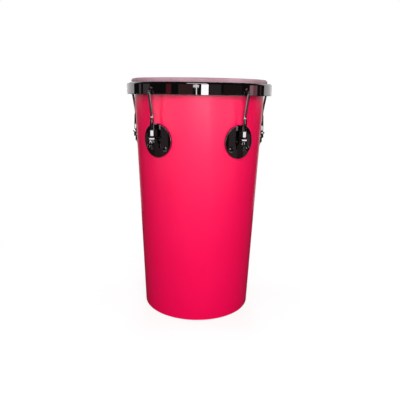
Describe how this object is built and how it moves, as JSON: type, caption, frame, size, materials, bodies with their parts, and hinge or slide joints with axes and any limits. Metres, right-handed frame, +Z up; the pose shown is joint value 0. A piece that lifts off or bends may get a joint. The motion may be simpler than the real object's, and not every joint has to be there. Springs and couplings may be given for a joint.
{
  "type": "rebolo drum",
  "caption": "Tapered single-headed hand drum with a plastic shell open at the foot, and a head tensioned by a black hoop, hooked rods and round lugs.",
  "frame": {"origin": "on the drum's axis at the height of the foot's rim, which is the centre of the foot's circle", "axes": "+Z up along the drum's axis towards the head, -Y towards the front, midway between two lugs, +X to the right seen from the front"},
  "size_m": [0.337, 0.3454, 0.5506],
  "materials": {
    "pink_plastic": "smooth hot pink plastic with a soft satin gloss",
    "coated_skin": "smooth coated skin, slightly matte",
    "zinc_steel": "zinc plated steel",
    "black_chrome": "black chrome plated steel, polished",
    "black_rubber": "matte black rubber"
  },
  "bodies": {
    "drum_body": {"shell": "pink_plastic", "lug_gasket_1": "black_rubber", "lug_plate_1": "black_chrome", "lug_bracket_1": "black_chrome", "lug_screw_1_left": "black_chrome", "inside_nut_1_left": "zinc_steel", "lug_screw_1_right": "black_chrome", "inside_nut_1_right": "zinc_steel", "rod_sleeve_1": "black_chrome", "tuning_washer_1": "black_chrome", "lug_gasket_2": "black_rubber", "lug_plate_2": "black_chrome", "lug_bracket_2": "black_chrome", "lug_screw_2_left": "black_chrome", "inside_nut_2_left": "zinc_steel", "lug_screw_2_right": "black_chrome", "inside_nut_2_right": "zinc_steel", "rod_sleeve_2": "black_chrome", "tuning_washer_2": "black_chrome", "lug_gasket_3": "black_rubber", "lug_plate_3": "black_chrome", "lug_bracket_3": "black_chrome", "lug_screw_3_left": "black_chrome", "inside_nut_3_left": "zinc_steel", "lug_screw_3_right": "black_chrome", "inside_nut_3_right": "zinc_steel", "rod_sleeve_3": "black_chrome", "tuning_washer_3": "black_chrome", "lug_gasket_4": "black_rubber", "lug_plate_4": "black_chrome", "lug_bracket_4": "black_chrome", "lug_screw_4_left": "black_chrome", "inside_nut_4_left": "zinc_steel", "lug_screw_4_right": "black_chrome", "inside_nut_4_right": "zinc_steel", "rod_sleeve_4": "black_chrome", "tuning_washer_4": "black_chrome", "lug_gasket_5": "black_rubber", "lug_plate_5": "black_chrome", "lug_bracket_5": "black_chrome", "lug_screw_5_left": "black_chrome", "inside_nut_5_left": "zinc_steel", "lug_screw_5_right": "black_chrome", "inside_nut_5_right": "zinc_steel", "rod_sleeve_5": "black_chrome", "tuning_washer_5": "black_chrome"},
    "hoop_and_head": {"tension_hoop": "black_chrome", "drum_head": "coated_skin", "flesh_hoop": "zinc_steel", "tension_rod_1": "black_chrome", "tension_rod_2": "black_chrome", "tension_rod_3": "black_chrome", "tension_rod_4": "black_chrome", "tension_rod_5": "black_chrome"},
    "nut_1": {"tuning_nut_1": "black_chrome"},
    "nut_2": {"tuning_nut_2": "black_chrome"},
    "nut_3": {"tuning_nut_3": "black_chrome"},
    "nut_4": {"tuning_nut_4": "black_chrome"},
    "nut_5": {"tuning_nut_5": "black_chrome"}
  },
  "joints": [
    {"name": "hoop_travel", "type": "slide", "parent": "drum_body", "child": "hoop_and_head", "axis": [0, 0, 1], "range_m": [0, 0.011]},
    {"name": "nut_1_turn", "type": "hinge", "parent": "drum_body", "child": "nut_1", "pos_m": [0.09757, -0.13429, 0.4168], "axis": [0, 0, -1], "range_deg": [-1, 3961]},
    {"name": "nut_2_turn", "type": "hinge", "parent": "drum_body", "child": "nut_2", "pos_m": [0.15787, 0.0513, 0.4168], "axis": [0, 0, -1], "range_deg": [-1, 3961]},
    {"name": "nut_3_turn", "type": "hinge", "parent": "drum_body", "child": "nut_3", "pos_m": [0, 0.166, 0.4168], "axis": [0, 0, -1], "range_deg": [-1, 3961]},
    {"name": "nut_4_turn", "type": "hinge", "parent": "drum_body", "child": "nut_4", "pos_m": [-0.15787, 0.0513, 0.4168], "axis": [0, 0, -1], "range_deg": [-1, 3961]},
    {"name": "nut_5_turn", "type": "hinge", "parent": "drum_body", "child": "nut_5", "pos_m": [-0.09757, -0.13429, 0.4168], "axis": [0, 0, -1], "range_deg": [-1, 3961]}
  ],
  "couplings": [
    {"joint": "nut_1_turn", "follows": "hoop_travel", "rad_per_m": 6283.2},
    {"joint": "nut_2_turn", "follows": "hoop_travel", "rad_per_m": 6283.2},
    {"joint": "nut_3_turn", "follows": "hoop_travel", "rad_per_m": 6283.2},
    {"joint": "nut_4_turn", "follows": "hoop_travel", "rad_per_m": 6283.2},
    {"joint": "nut_5_turn", "follows": "hoop_travel", "rad_per_m": 6283.2}
  ]
}
